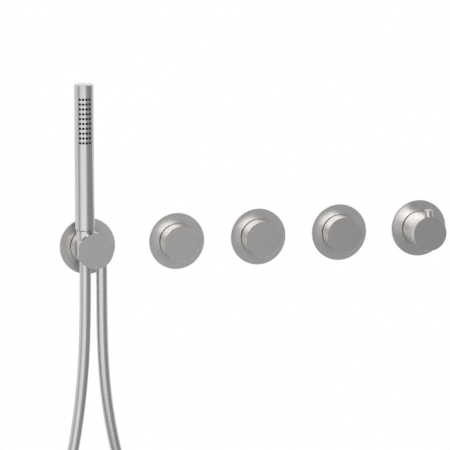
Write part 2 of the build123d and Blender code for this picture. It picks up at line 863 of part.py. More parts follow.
def hose():
    """Hose from the outlet round a hanging loop and up to the hand shower, as runs and tangent arcs."""
    right = [(strand_offset, port_top - ferrule_cap)] + hose_right
    left = [(-x, z) for x, z in reversed(hose_left)] + [(-stick_offset, hose_end)]
    route = [Vector(holder_x + x, strand_y, z) for x, z in right + left]
    runs = [b - a for a, b in zip(route, route[1:])]
    radii = [
        hose_bend_share * min(a.length, b.length) / tan(radians(a.get_angle(b)) / 2)
        for a, b in zip(runs, runs[1:])
    ]
    path = FilletPolyline(*route, radius=radii)
    tube = sweep(Plane(origin=path @ 0, z_dir=path % 0) * Circle(hose_radius), path)
    print("hose length", round(path.length, 1), "radii", [round(r) for r in radii])
    section = pi * hose_radius**2
    print("hose volume", round(tube.volume), "section times length", round(section * path.length))
    return tube


def save(name, shape, x=0.0):
    """Write one piece, moved along the wall to its place in the row."""
    export_step(Pos(x, 0, 0) * shape, f"parts/{name}.step")


os.makedirs("parts", exist_ok=True)

# Stop valves
valve_knob, valve_screw = knob(
    knob_radius, knob_bore, valve_knob_length, valve_knob_face, valve_hub_length,
)
for number, x in enumerate(valve_xs, 1):
    save(f"valve_plate_{number}", wall_plate(), x)
    save(f"valve_knob_{number}", valve_knob, x)
    save(f"knob_grub_screw_{number}", valve_screw, x)
    save(f"valve_spindle_{number}", valve_spindle(), x)
    save(f"moving_disc_{number}", moving_disc(), x)
    save(f"headwork_{number}", headwork(), x)
    save(f"valve_sleeve_{number}", sleeve(), x)
    save(f"valve_body_{number}", valve_body(number), x)
save("fixed_discs", Compound([Pos(x, 0, 0) * ceramic_disc(fixed_front, 0) for x in valve_xs]))
save("seat_seals", Compound([Pos(x, 0, 0) * seat_seal() for x in valve_xs]))

# Temperature control
mixer_knob, mixer_screw = temperature_knob()
save("mixer_plate", wall_plate())
save("temperature_knob", mixer_knob)
save("temperature_grub_screw", mixer_screw)
save("temperature_spindle", temperature_spindle())
save("stop_button", stop_button())
save("button_spring", button_spring())
save("limit_ring", limit_ring())
save("mixer_sleeve", sleeve())
save("cartridge_housing", cartridge_housing())
save("cartridge_base", cartridge_base())
save("drive_nut", drive_nut())
save("wax_element", wax_element())
save("mixing_spool", mixing_spool())
save("return_spring", return_spring())
save("check_valves", check_valves())
save("mixer_body", mixer_body())

# Tubes between the bodies, and the rail that carries them
row = [*valve_xs, temperature_x]
links = [link_tube(a + socket_end, b - socket_end, manifold_depth) for a, b in zip(row, row[1:])]
save("link_tubes", Compound(links))
save("feed_tube", link_tube(holder_x + socket_end, valve_xs[0] - socket_end, outlet_depth))
save("mounting_rail", mounting_rail())
save("rail_screws", rail_screws())

# Hand shower, holder and hose
holder_screw = Pos(0, -holder_screw_out, -nipple_radius - nipple_play) * grub_screw()
save("holder_plate", wall_plate(), holder_x)
save("holder_body", holder_body(), holder_x)
save("holder_grub_screw", holder_screw, holder_x)
save("outlet_nipple", outlet_nipple(), holder_x)
save("outlet_elbow", outlet_elbow(), holder_x)
save("elbow_bracket", elbow_bracket(), holder_x)
for name, piece in (
    ("hand_shower_tube", hand_shower_tube()),
    ("hand_shower_cap", hand_shower_cap()),
    ("hand_shower_connector", hand_shower_connector()),
    ("nozzle_insert", nozzle_insert()),
    ("hose_cone_nut", hose_cone_nut()),
):
    save(name, stick_point() * piece)
save("hose_ferrule", Pos(holder_x + strand_offset, strand_y, 0) * hose_ferrule())
save("hose", hose())
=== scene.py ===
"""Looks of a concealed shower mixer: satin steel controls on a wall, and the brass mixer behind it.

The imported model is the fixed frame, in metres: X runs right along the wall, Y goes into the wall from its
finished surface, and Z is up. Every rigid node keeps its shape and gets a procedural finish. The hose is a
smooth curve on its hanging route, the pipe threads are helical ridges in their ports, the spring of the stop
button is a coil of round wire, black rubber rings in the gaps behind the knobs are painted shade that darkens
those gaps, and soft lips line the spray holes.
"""

import json
import logging
from dataclasses import dataclass, field
from enum import Enum
from math import cos, pi, radians, sin
from typing import Any, ClassVar

import bpy
import numpy as np
from mathutils import Matrix, Vector

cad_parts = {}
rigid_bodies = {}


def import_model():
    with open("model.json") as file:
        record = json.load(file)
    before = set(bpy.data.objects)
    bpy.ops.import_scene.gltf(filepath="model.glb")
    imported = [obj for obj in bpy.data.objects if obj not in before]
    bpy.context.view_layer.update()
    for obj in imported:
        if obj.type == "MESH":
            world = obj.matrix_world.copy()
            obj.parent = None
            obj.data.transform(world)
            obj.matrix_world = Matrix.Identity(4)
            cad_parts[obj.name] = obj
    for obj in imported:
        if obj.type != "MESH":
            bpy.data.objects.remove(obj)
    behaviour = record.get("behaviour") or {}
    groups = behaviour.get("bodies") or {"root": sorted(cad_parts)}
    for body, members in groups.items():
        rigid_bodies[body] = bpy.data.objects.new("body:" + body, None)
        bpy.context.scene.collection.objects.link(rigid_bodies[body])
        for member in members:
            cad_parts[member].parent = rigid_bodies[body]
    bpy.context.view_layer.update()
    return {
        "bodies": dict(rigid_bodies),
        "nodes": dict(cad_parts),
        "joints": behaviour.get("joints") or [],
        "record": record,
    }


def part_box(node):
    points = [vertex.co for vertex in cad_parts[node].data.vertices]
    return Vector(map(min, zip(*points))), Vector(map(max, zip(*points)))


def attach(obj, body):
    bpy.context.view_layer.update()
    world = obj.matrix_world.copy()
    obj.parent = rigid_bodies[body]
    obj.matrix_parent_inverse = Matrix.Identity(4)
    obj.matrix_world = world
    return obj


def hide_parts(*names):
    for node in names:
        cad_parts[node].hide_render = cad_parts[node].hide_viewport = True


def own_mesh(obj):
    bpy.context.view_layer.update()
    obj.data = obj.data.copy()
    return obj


log = logging.getLogger("shower_mixer")

Number = float | int
Colour = tuple[float, float, float]
Point = tuple[float, float, float]

MM = 0.001
VALVES = (1, 2, 3)
MIDDLE_X = -0.25


class Wire:
    """A shader value for Python expressions: each operator adds one Math node."""

    def __init__(self, graph: "Graph", socket: bpy.types.NodeSocket) -> None:
        """Wrap one output socket of a graph."""
        self.graph = graph
        self.socket = socket

    def other(self, name: str) -> "Wire":
        """Another output of the same node."""
        return Wire(self.graph, self.socket.node.outputs[name])

    def math(self, operation: str, *values: "Wire | Number") -> "Wire":
        """Add a Math node.

        Args:
            operation: The Math node's operation.
            values: Its inputs, in order.

        Returns:
            The node's result.
        """
        return self.graph.node("ShaderNodeMath", {"operation": operation}, dict(enumerate(values)))

    def __add__(self, other: "Wire | Number") -> "Wire":
        """Sum."""
        return self.math("ADD", self, other)

    def __sub__(self, other: "Wire | Number") -> "Wire":
        """Difference."""
        return self.math("SUBTRACT", self, other)

    def __rsub__(self, other: Number) -> "Wire":
        """Difference from a number."""
        return self.math("SUBTRACT", other, self)

    def __mul__(self, other: "Wire | Number") -> "Wire":
        """Product."""
        return self.math("MULTIPLY", self, other)

    def __pow__(self, other: Number) -> "Wire":
        """Power."""
        return self.math("POWER", self, other)


class Graph:
    """The node tree of one material or of the world."""

    NOISE_DETAIL: ClassVar[float] = 2.0
    NOISE_ROUGHNESS: ClassVar[float] = 0.6

    def __init__(self, tree: bpy.types.NodeTree) -> None:
        """Empty the tree and keep it."""
        self.tree = tree
        tree.nodes.clear()

    def node(
        self,
        kind: str,
        settings: dict[str, Any] | None = None,
        inputs: dict[str | int, Any] | None = None,
        output: str | int = 0,
    ) -> Wire | None:
        """Add a node.

        Args:
            kind: The node's type.
            settings: Its own settings, set before its sockets.
            inputs: Values or wires for its input sockets, by name or place.
            output: The output socket wanted.

        Returns:
            That output, or None where the node has no outputs.
        """
        made = self.tree.nodes.new(kind)
        for name, value in (settings or {}).items():
            setattr(made, name, value)
        for name, value in (inputs or {}).items():
            socket = made.inputs[name]
            if isinstance(value, Wire):
                self.tree.links.new(value.socket, socket)
            else:
                socket.default_value = value
        return Wire(self, made.outputs[output]) if made.outputs else None

    def place(self) -> tuple[Wire, Wire, Wire]:
        """The X, Y and Z of a surface point in the part's frame, in metres."""
        point = self.node("ShaderNodeTexCoord", output="Object")
        x = self.node("ShaderNodeSeparateXYZ", inputs={0: point})
        return x, x.other("Y"), x.other("Z")

    def vector(self, x: Wire | Number, y: Wire | Number, z: Wire | Number) -> Wire:
        """A vector from its three parts."""
        return self.node("ShaderNodeCombineXYZ", inputs={0: x, 1: y, 2: z})

    def noise(self, vector: Wire, scale: float) -> Wire:
        """Noise about 0.5 at points of a vector field."""
        inputs = {
            "Vector": vector, "Scale": scale, "Detail": self.NOISE_DETAIL, "Roughness": self.NOISE_ROUGHNESS,
        }
        return self.node("ShaderNodeTexNoise", inputs=inputs)

    def blend(self, share: Wire, low: Colour, high: Colour) -> Wire:
        """Mix two colours by a share."""
        inputs = {0: share, 6: (*low, 1.0), 7: (*high, 1.0)}
        return self.node("ShaderNodeMix", {"data_type": "RGBA"}, inputs, output=2)

    def bump(self, height: Wire, strength: float, distance: float) -> Wire:
        """Normals bent by a height in metres times a distance."""
        inputs = {"Strength": strength, "Distance": distance, "Height": height}
        return self.node("ShaderNodeBump", inputs=inputs)


class Grain(Enum):
    """How the fine lines of a worked surface run."""

    TURNED = "rings about an axis into the wall"
    UPRIGHT = "lines up and down"
    SIDEWAYS = "lines along the wall"
    NONE = "no direction"


@dataclass(frozen=True)
class Finish:
    """A surface finish: its colour, gloss and fine relief."""

    name: str
    colour: Colour
    metallic: float = 0.0
    roughness: float = 0.4
    grain: Grain = Grain.NONE
    centre_x: float = 0.0
    line_width: float = 0.25 * MM
    tint: float = 0.015
    gloss_spread: float = 0.04
    relief: float = 0.0005 * MM
    settings: tuple[tuple[str, float], ...] = ()

    STREAK: ClassVar[float] = 0.02

    def pattern(self, graph: Graph) -> Wire:
        """Noise stretched along the grain, about 0.5.

        Turned work uses the distance from the axis and the depth, so that the lines are rings. Straight
        grain shortens the coordinate that it runs along, so that the spots of the noise become lines.
        """
        x, y, z = graph.place()
        scale = 1.0 / self.line_width
        if self.grain is Grain.TURNED:
            across = x - self.centre_x
            radius = (across * across + z * z) ** 0.5
            turn = z.math("ARCTAN2", z, across)
            return graph.noise(graph.vector(radius, y, turn * (self.STREAK * MM)), scale)
        if self.grain is Grain.UPRIGHT:
            return graph.noise(graph.vector(x, y, z * self.STREAK), scale)
        if self.grain is Grain.SIDEWAYS:
            return graph.noise(graph.vector(x * self.STREAK, y, z), scale)
        return graph.noise(graph.vector(x, y, z), scale)

    def material(self) -> bpy.types.Material:
        """Make the material once and reuse it.

        Returns:
            The material, with colour, roughness and normals varied by the pattern.
        """
        found = bpy.data.materials.get(self.name)
        if found:
            return found
        made = bpy.data.materials.new(self.name)
        made.use_nodes = True
        graph = Graph(made.node_tree)
        shape = self.pattern(graph)
        shader = graph.node(
            "ShaderNodeBsdfPrincipled",
            inputs={
                "Base Color": self.tone(graph, shape),
                "Roughness": self.gloss(graph, shape),
                "Metallic": self.metallic,
                "Normal": graph.bump(shape, 1.0, self.relief),
                **dict(self.settings),
            },
        )
        graph.node("ShaderNodeOutputMaterial", inputs={"Surface": shader})
        return made

    def tone(self, graph: Graph, shape: Wire) -> Wire:
        """Colour a little darker and lighter along the pattern."""
        low = tuple(c * (1 - self.tint) for c in self.colour)
        high = tuple(min(1.0, c * (1 + self.tint)) for c in self.colour)
        return graph.blend(shape, low, high)

    def gloss(self, graph: Graph, shape: Wire) -> Wire:
        """Roughness spread about its middle by the pattern."""
        return (shape - 0.5) * self.gloss_spread + self.roughness


@dataclass(frozen=True)
class Spangled(Finish):
    """Galvanised sheet: crystals of slightly different greys and gloss."""

    crystal: float = 9 * MM
    noise_share: float = 0.3

    def pattern(self, graph: Graph) -> Wire:
        """A random value for each crystal cell, with a little noise inside it."""
        x, y, z = graph.place()
        point = graph.vector(x, y, z)
        inputs = {"Vector": point, "Scale": 1.0 / self.crystal}
        cell = graph.node("ShaderNodeTexVoronoi", {"feature": "F1"}, inputs, output="Color")
        grey = graph.node("ShaderNodeSeparateColor", inputs={0: cell})
        noise = graph.noise(point, 1.0 / self.line_width)
        return grey * (1 - self.noise_share) + noise * self.noise_share


STEEL = (0.57, 0.56, 0.55)
BRASS = (0.72, 0.52, 0.26)
COPPER = (0.80, 0.46, 0.33)
ZINC = (0.62, 0.64, 0.66)
CHROME = (0.72, 0.73, 0.75)
CERAMIC = (0.86, 0.85, 0.82)
PLASTIC = (0.80, 0.80, 0.77)
RUBBER = (0.012, 0.012, 0.012)

METAL = 1.0
NOT_METAL = 0.0
PLATE_ROUGHNESS = 0.28
TURNED_ROUGHNESS = 0.20


def satin_plate(name: str, centre_x: float) -> Finish:
    """Satin steel plate, brushed in rings about an axis into the wall."""
    return Finish(f"satin_plate_{name}", STEEL, METAL, PLATE_ROUGHNESS, Grain.TURNED, centre_x)


def satin_turned(name: str, centre_x: float) -> Finish:
    """Satin steel turned on a lathe about an axis into the wall, a little glossier than the plates."""
    return Finish(f"satin_turned_{name}", STEEL, METAL, TURNED_ROUGHNESS, Grain.TURNED, centre_x)


SATIN_UPRIGHT = Finish("satin_upright", STEEL, METAL, 0.22, Grain.UPRIGHT)
HOSE_SKIN = Finish("satin_hose", STEEL, METAL, 0.27, Grain.UPRIGHT, line_width=0.6 * MM, tint=0.03)
FORGED_BRASS = Finish("forged_brass", BRASS, METAL, 0.40, line_width=0.5 * MM, tint=0.12, relief=0.03 * MM)
TURNED_BRASS = Finish("turned_brass", BRASS, METAL, 0.26, line_width=0.3 * MM)
DRAWN_COPPER = Finish("drawn_copper", COPPER, METAL, 0.28, Grain.SIDEWAYS, line_width=0.4 * MM, tint=0.10)
GALVANISED = Spangled("galvanised", ZINC, METAL, 0.40, tint=0.14, gloss_spread=0.22, relief=0.01 * MM)
PLATED = Finish("plated", CHROME, METAL, 0.16)
BRIGHT_STEEL = Finish("bright_steel", CHROME, METAL, 0.24)
POLISHED_CERAMIC = Finish("polished_ceramic", CERAMIC, NOT_METAL, 0.12, tint=0.02, relief=0.001 * MM)
MOULDED = Finish("moulded_plastic", PLASTIC, NOT_METAL, 0.45, tint=0.03)
SOFT_RUBBER = Finish(
    "soft_rubber", RUBBER, NOT_METAL, 0.6, tint=0.15, settings=(("Specular IOR Level", 0.25),),
)


class Dresser:
    """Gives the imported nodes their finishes."""

    def __init__(self, frame: dict[str, Any]) -> None:
        """Keep the frame's nodes."""
        self.nodes = frame["nodes"]

    def dress(self, finish: Finish, *names: str) -> None:
        """Put one finish on nodes.

        Args:
            finish: The surface finish.
            names: The nodes that it covers.
        """
        for name in names:
            mesh = self.nodes[name].data
            mesh.materials.clear()
            mesh.materials.append(finish.material())
            log.info("%s: %s", name, finish.name)

    def add(self, piece: bpy.types.Object, body: str, slot: str) -> bpy.types.Object:
        """Let a new piece ride on a body.

        Args:
            piece: The new object.
            body: The body that it moves with.
            slot: Not used.

        Returns:
            The piece.
        """
        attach(piece, body)
        log.info("%s rides on %s", piece.name, body)
        return piece


def centre_of(node: str) -> Vector:
    """Middle of a node's box."""
    low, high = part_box(node)
    return (low + high) / 2


def radius_of(node: str) -> float:
    """Half the width of a round node's box along X, in metres."""
    low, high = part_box(node)
    return (high.x - low.x) / 2


def grid_quads(rows: int, columns: int, closed: bool) -> np.ndarray:
    """Quads of a grid whose columns always close in a ring.

    Args:
        rows: Count of rows of points.
        columns: Count of points in a row.
        closed: Whether the last row joins the first.

    Returns:
        The corner numbers of each quad, one row each.
    """
    row, column = np.meshgrid(np.arange(rows if closed else rows - 1), np.arange(columns), indexing="ij")
    below, after = (row + 1) % rows, (column + 1) % columns
    corners = [(row, column), (below, column), (below, after), (row, after)]
    return np.stack([r * columns + c for r, c in corners], axis=-1).reshape(-1, 4)


def capped_faces(rows: int, columns: int) -> list[list[int]]:
    """Quads of a grid of rings, and one face that closes each end."""
    last = (rows - 1) * columns
    ends = [list(range(columns)), list(range(last + columns - 1, last - 1, -1))]
    return grid_quads(rows, columns, False).tolist() + ends


def surface(
    name: str, points: np.ndarray, faces: list[list[int]], finish: Finish, smooth: bool = True,
) -> bpy.types.Object:
    """Make a mesh object from arrays.

    Args:
        name: The object's name.
        points: Its corners in metres, one row each.
        faces: The corner numbers of its faces.
        finish: Its surface finish.
        smooth: Whether its faces shade as one curved surface.

    Returns:
        The object, linked to the scene.
    """
    mesh = bpy.data.meshes.new(name)
    mesh.from_pydata(points.tolist(), [], faces)
    mesh.polygons.foreach_set("use_smooth", np.full(len(faces), smooth))
    mesh.update()
    mesh.materials.append(finish.material())
    made = bpy.data.objects.new(name, mesh)
    bpy.context.scene.collection.objects.link(made)
    return made


def rings(
    profile: np.ndarray, centres: np.ndarray, axes: np.ndarray, steps: int,
) -> tuple[np.ndarray, list[list[int]]]:
    """Carry a closed profile round each of several level axes.

    A point of the profile at radius r and height h goes, at angle a, to the centre plus r times (cos a along
    the level side direction, sin a upwards) plus h along the axis.

    Args:
        profile: Radius and height of each corner, counterclockwise with the radius to the right.
        centres: One centre for each ring.
        axes: One level unit axis for each ring.
        steps: Count of steps round a ring.

    Returns:
        The points and the quads of all rings.
    """
    up = np.array([0.0, 0.0, 1.0])
    side = np.cross(up, axes)
    angle = np.linspace(0.0, 2 * pi, steps, endpoint=False)
    spoke = np.cos(angle)[None, :, None] * side[:, None, :] + np.sin(angle)[None, :, None] * up
    reach, height = profile[:, 0], profile[:, 1]
    points = (
        centres[:, None, None, :] + spoke[:, :, None, :] * reach[None, None, :, None]
        + axes[:, None, None, :] * height[None, None, :, None]
    )
    one = grid_quads(steps, len(profile), True)
    first = np.arange(len(centres)) * steps * len(profile)
    faces = (first[:, None, None] + one[None]).reshape(-1, 4)
    return points.reshape(-1, 3), faces.tolist()


@dataclass
class StopValve:
    """A stop valve: plate and knob on the wall, headwork and body in it."""

    number: int

    def dress(self, dresser: Dresser) -> None:
        """Finish the valve's nodes.

        Args:
            dresser: What gives the nodes their finishes.
        """
        n = self.number
        axis_x = centre_of(f"valve_plate_{n}").x
        dresser.dress(satin_plate(f"valve_{n}", axis_x), f"valve_plate_{n}")
        dresser.dress(satin_turned(f"valve_{n}", axis_x), f"valve_knob_{n}")
        dresser.dress(BRIGHT_STEEL, f"knob_grub_screw_{n}")
        dresser.dress(PLATED, f"valve_sleeve_{n}")
        dresser.dress(TURNED_BRASS, f"valve_spindle_{n}", f"headwork_{n}")
        dresser.dress(POLISHED_CERAMIC, f"moving_disc_{n}")
        dresser.dress(FORGED_BRASS, f"valve_body_{n}")


@dataclass
class TemperatureControl:
    """The temperature knob with its stop button, cartridge and mixer body."""

    plate: str = "mixer_plate"

    def dress(self, dresser: Dresser) -> None:
        """Finish the control's nodes.

        Args:
            dresser: What gives the nodes their finishes.
        """
        axis_x = centre_of(self.plate).x
        dresser.dress(satin_plate("temperature", axis_x), self.plate)
        dresser.dress(satin_turned("temperature", axis_x), "temperature_knob")
        dresser.dress(SATIN_UPRIGHT, "stop_button")
        dresser.dress(BRIGHT_STEEL, "temperature_grub_screw", "return_spring")
        dresser.dress(PLATED, "mixer_sleeve")
        dresser.dress(TURNED_BRASS, "temperature_spindle", "drive_nut", "wax_element")
        dresser.dress(
            MOULDED, "limit_ring", "cartridge_housing", "cartridge_base", "mixing_spool", "check_valves",
        )
        dresser.dress(FORGED_BRASS, "mixer_body")


@dataclass
class HandShower:
    """The hand shower in its holder, with the outlet behind it."""

    plate: str = "holder_plate"

    def dress(self, dresser: Dresser) -> None:
        """Finish the hand shower's and the holder's nodes.

        Args:
            dresser: What gives the nodes their finishes.
        """
        axis_x = centre_of(self.plate).x
        dresser.dress(satin_plate("holder", axis_x), self.plate)
        dresser.dress(satin_turned("holder", axis_x), "holder_body")
        dresser.dress(SATIN_UPRIGHT, "hand_shower_tube", "hand_shower_cap", "hose_cone_nut")
        dresser.dress(SOFT_RUBBER, "nozzle_insert")
        dresser.dress(BRIGHT_STEEL, "holder_grub_screw")
        dresser.dress(PLATED, "hand_shower_connector")
        dresser.dress(TURNED_BRASS, "hose_ferrule", "outlet_nipple")
        dresser.dress(FORGED_BRASS, "outlet_elbow")


@dataclass
class Hose:
    """The hose that hangs from the holder's outlet in a loop and rises to the hand shower."""

    holder_x: float = -428.3
    out: float = -28.7
    outlet_offset: float = 10.6
    outlet_top: float = 2.0
    stick_offset: float = 10.1
    nut_end: float = 10.0
    radius: float = 7.0
    length: float = 1246.3
    section_steps: int = 8
    run_steps: int = 16
    order: int = 3
    right: list[tuple[float, float]] = field(default_factory=lambda: [
        (10.6, -46.0), (10.7, -108.0), (12.8, -158.0), (17.9, -206.0), (27.4, -256.0), (42.0, -308.0),
        (61.0, -367.0), (79.0, -432.0), (82.0, -502.0), (60.0, -540.0), (22.0, -562.0),
    ])
    left: list[tuple[float, float]] = field(default_factory=lambda: [
        (10.2, -46.0), (11.3, -108.0), (14.4, -158.0), (19.9, -206.0), (28.2, -256.0), (42.0, -308.0),
        (61.0, -367.0), (79.0, -432.0), (82.0, -502.0), (60.0, -540.0), (22.0, -562.0),
    ])

    def route(self) -> np.ndarray:
        """Control points in metres: down the right side of the loop and up its left side.

        Returns:
            An array of points, one row each.
        """
        right = np.vstack([(self.outlet_offset, self.outlet_top), self.right])
        left = np.vstack([np.array(self.left)[::-1] * (-1, 1), (-self.stick_offset, self.nut_end)])
        across, height = np.vstack([right, left]).T
        depth = np.full_like(across, self.out)
        return np.column_stack([self.holder_x + across, depth, height]) * MM

    def build(self, dresser: Dresser) -> bpy.types.Object:
        """Make the hose as one smooth spline with a round section.

        Args:
            dresser: What gives the piece its body.

        Returns:
            The hose's object.
        """
        route = self.route()
        curve = bpy.data.curves.new("hanging_hose", "CURVE")
        curve.dimensions = "3D"
        curve.bevel_depth = self.radius * MM
        curve.bevel_resolution = self.section_steps
        curve.resolution_u = self.run_steps
        curve.use_fill_caps = True
        spline = curve.splines.new("NURBS")
        spline.points.add(len(route) - 1)
        spline.points.foreach_set("co", np.column_stack([route, np.ones(len(route))]).ravel())
        spline.order_u = self.order
        spline.use_endpoint_u = True
        curve.materials.append(HOSE_SKIN.material())
        hose = bpy.data.objects.new("hanging_hose", curve)
        bpy.context.scene.collection.objects.link(hose)
        dresser.add(hose, "base", "hose_skin")
        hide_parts("hose")
        2 * self.radius * MM
        return hose


@dataclass
class PipeThread:
    """The helical ridge of an inside pipe thread in a threaded port."""

    name: str
    mouth: Point
    downward: bool
    radius: float = 9.3
    reach: float = 13.5
    pitch: float = 1.814
    height: float = 0.7
    flank: float = 0.45
    taper_turns: float = 0.5
    thin_end: float = 0.05
    steps: int = 48

    def build(self, dresser: Dresser) -> bpy.types.Object:
        """Make the ridge.

        Its section is a triangle that stands on the bore's wall, carried along a helix. Its size grows from
        very little in the first half turn and shrinks again in the last one.

        Args:
            dresser: What gives the piece its body.

        Returns:
            The ridge's object.
        """
        turns = self.reach / self.pitch
        count = round(turns * self.steps) + 1
        turn = np.linspace(0.0, turns, count)
        size = np.clip(np.minimum(turn, turns - turn) / self.taper_turns, self.thin_end, 1.0)
        corner_in = np.array([0.0, self.height, 0.0])
        corner_along = np.array([-self.flank, 0.0, self.flank]) * self.pitch
        radius = self.radius - size[:, None] * corner_in
        along = (turn * self.pitch)[:, None] + size[:, None] * corner_along + self.pitch / 2
        sign = 1 if self.downward else -1
        angle = 2 * pi * turn[:, None] * sign
        x, y, z = self.mouth
        points = np.stack([
            x + radius * np.cos(angle), y + radius * np.sin(angle), z + sign * along,
        ], axis=-1).reshape(-1, 3)
        faces = [face[::-1] for face in capped_faces(count, 3)]
        piece = surface(self.name, points * MM, faces, TURNED_BRASS, smooth=False)
        return dresser.add(piece, "base", "brass")


@dataclass
class ButtonSpring:
    """The coil spring under the stop button, built at the length of its node."""

    node: str = "button_spring"
    joint: str = "button_press"
    travel: float = 2.5
    radius: float = 2.6
    wire: float = 0.8
    turns: int = 4
    taper_steps: int = 2
    thin_end: float = 0.1
    steps: int = 40
    sides: int = 10

    def build(self, dresser: Dresser) -> bpy.types.Object:
        """Make the spring as a round wire carried up a helix.

        At turn t the wire's middle is at radius r and angle 2 pi t, and rises evenly. A ring of the wire at
        angle b round it is w cos b outwards and w sin b up. The wire thins at both ends.

        Args:
            dresser: What gives the piece its body.

        Returns:
            The spring's object, in place of its node.
        """
        low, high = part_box(self.node)
        middle, length = (low + high) / 2 / MM, (high.z - low.z) / MM
        count = self.turns * self.steps + 1
        turn = np.linspace(0.0, self.turns, count)[:, None]
        from_end = np.minimum(turn, self.turns - turn) * self.steps
        share = np.clip(from_end / self.taper_steps, self.thin_end, 1.0)
        size = share * self.wire / 2
        round_wire = np.linspace(0.0, 2 * pi, self.sides, endpoint=False)[None, :]
        reach = self.radius + size * np.cos(round_wire)
        rise = self.wire / 2 + turn / self.turns * (length - self.wire)
        height = low.z / MM + rise + size * np.sin(round_wire)
        angle = 2 * pi * turn
        points = np.stack([
            middle.x + reach * np.cos(angle), middle.y + reach * np.sin(angle), height,
        ], axis=-1).reshape(-1, 3)
        piece = surface("stop_spring", points * MM, capped_faces(count, self.sides), BRIGHT_STEEL)
        dresser.add(piece, "temperature", "screw_steel")
        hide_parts(self.node)
        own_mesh(piece)
        return piece


@dataclass
class GapShadeRing:
    """A black ring on a sleeve in the gap between a wall plate and what turns in front of it, as painted
    shade.
    """

    name: str
    plate: str
    front: str
    sleeve: str
    ring_inset: float = 0.15
    sleeve_play: float = 0.05
    seat: float = 0.02
    height: float = 1.6
    bevel: float = 0.4
    steps: int = 96

    def build(self, dresser: Dresser) -> bpy.types.Object:
        """Make the ring as a bevelled flat profile carried round the control's axis.

        Args:
            dresser: What gives the piece its body.

        Returns:
            The ring's object.
        """
        inner = radius_of(self.sleeve) / MM + self.sleeve_play
        outer = radius_of(self.front) / MM - self.ring_inset
        low, high, bevel = self.seat, self.height, self.bevel
        profile = np.array([
            (inner, low), (outer - bevel, low), (outer, low + bevel), (outer, high - bevel),
            (outer - bevel, high), (inner, high),
        ])
        centre = centre_of(self.plate)
        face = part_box(self.plate)[0].y
        centres = np.array([(centre.x, face, centre.z)])
        points, faces = rings(profile * MM, centres, np.array([(0.0, -1.0, 0.0)]), self.steps)
        # The ring is black rubber as painted shade: it darkens the gap behind the knob.
        return dresser.add(surface(self.name, points, faces, SOFT_RUBBER), "base", "rubber")


@dataclass
class SprayLips:
    """The soft lips of the spray nozzles, which stand a little proud of the hand shower's tube."""

    rows: int = 10
    columns: int = 4
    top: float = 188.1
    pitch: float = 5.98
    turn: float = -9.6
    step: float = 20.1
    inner: float = 1.0
    outer: float = 1.65
    proud: float = 0.16
    sunk: float = 0.1
    steps: int = 16

    def build(self, dresser: Dresser) -> bpy.types.Object:
        """Make the lips as one small ring round each nozzle.

        Nozzle axes are level: column n points along (sin t, -cos t, 0) at its turn t from the tube's front.

        Args:
            dresser: What gives the piece its body.

        Returns:
            The object of all lips.
        """
        turns = np.radians(self.turn + self.step * (np.arange(self.columns) - (self.columns - 1) / 2))
        heights = self.top - self.pitch * np.arange(self.rows)
        turn, height = (grid.ravel() for grid in np.meshgrid(turns, heights))
        axes = np.column_stack([np.sin(turn), -np.cos(turn), np.zeros_like(turn)])
        stick = centre_of("hand_shower_tube")
        foot = np.column_stack([np.full_like(turn, stick.x), np.full_like(turn, stick.y), height * MM])
        centres = foot + axes * radius_of("hand_shower_tube")
        middle = (self.inner + self.outer) / 2
        profile = np.array([
            (self.inner, -self.sunk), (self.outer, -self.sunk), (self.outer, 0.0), (middle, self.proud),
            (self.inner, self.proud / 2),
        ])
        points, faces = rings(profile * MM, centres, axes, self.steps)
        return dresser.add(surface("spray_lips", points, faces, SOFT_RUBBER), "base", "rubber")


@dataclass
class WallSet:
    """What joins the controls inside the wall: tubes, rail, screws and the outlet's bracket."""

    def dress(self, dresser: Dresser) -> None:
        """Finish the nodes inside the wall.

        Args:
            dresser: What gives the nodes their finishes.
        """
        dresser.dress(DRAWN_COPPER, "link_tubes", "feed_tube")
        dresser.dress(GALVANISED, "mounting_rail", "elbow_bracket")
        dresser.dress(BRIGHT_STEEL, "rail_screws")
        dresser.dress(POLISHED_CERAMIC, "fixed_discs")
        dresser.dress(SOFT_RUBBER, "seat_seals")

    def threads(self, dresser: Dresser, mounts: list[dict[str, Any]]) -> None:
        """Cut the look of a thread into each threaded port.

        Args:
            dresser: What gives the pieces their body.
            mounts: The record's mounts.
        """
        for mount in mounts:
            if mount["kind"] == "threaded_hole":
                mouth = tuple(value / MM for value in mount["pos_m"])
                PipeThread(f"{mount['name']}_thread", mouth, mount["axis"][2] < 0).build(dresser)


@dataclass
class PhotoCamera:
    """A long lens in front of the wall, a little to the left and above."""

    yaw: float = 16.22
    pitch: float = 9.80
    roll: float = -0.26
    distance: float = 8.116
    target: Point = (-0.25117, 0.0, 0.01644)
    lens: float = 524.16
    sensor: float = 36.0
    clip_factor: float = 10.0

    def build(self) -> bpy.types.Object:
        """Make the scene's camera.

        Returns:
            The camera, looking along its yaw and pitch at the target.
        """
        yaw, pitch, roll = radians(self.yaw), radians(self.pitch), radians(self.roll)
        ahead = Vector((sin(yaw) * cos(pitch), cos(yaw) * cos(pitch), -sin(pitch)))
        right = ahead.cross(Vector((0, 0, 1))).normalized()
        up = right.cross(ahead)
        right, up = right * cos(roll) + up * sin(roll), up * cos(roll) - right * sin(roll)
        data = bpy.data.cameras.new("photo_camera")
        data.sensor_width = self.sensor
        data.lens = self.lens
        data.clip_end = self.clip_factor * self.distance
        camera = bpy.data.objects.new("photo_camera", data)
        turn = Matrix((right, up, -ahead)).transposed().to_4x4()
        camera.matrix_world = Matrix.Translation(Vector(self.target) - ahead * self.distance) @ turn
        bpy.context.scene.collection.objects.link(camera)
        bpy.context.scene.camera = camera
        return camera


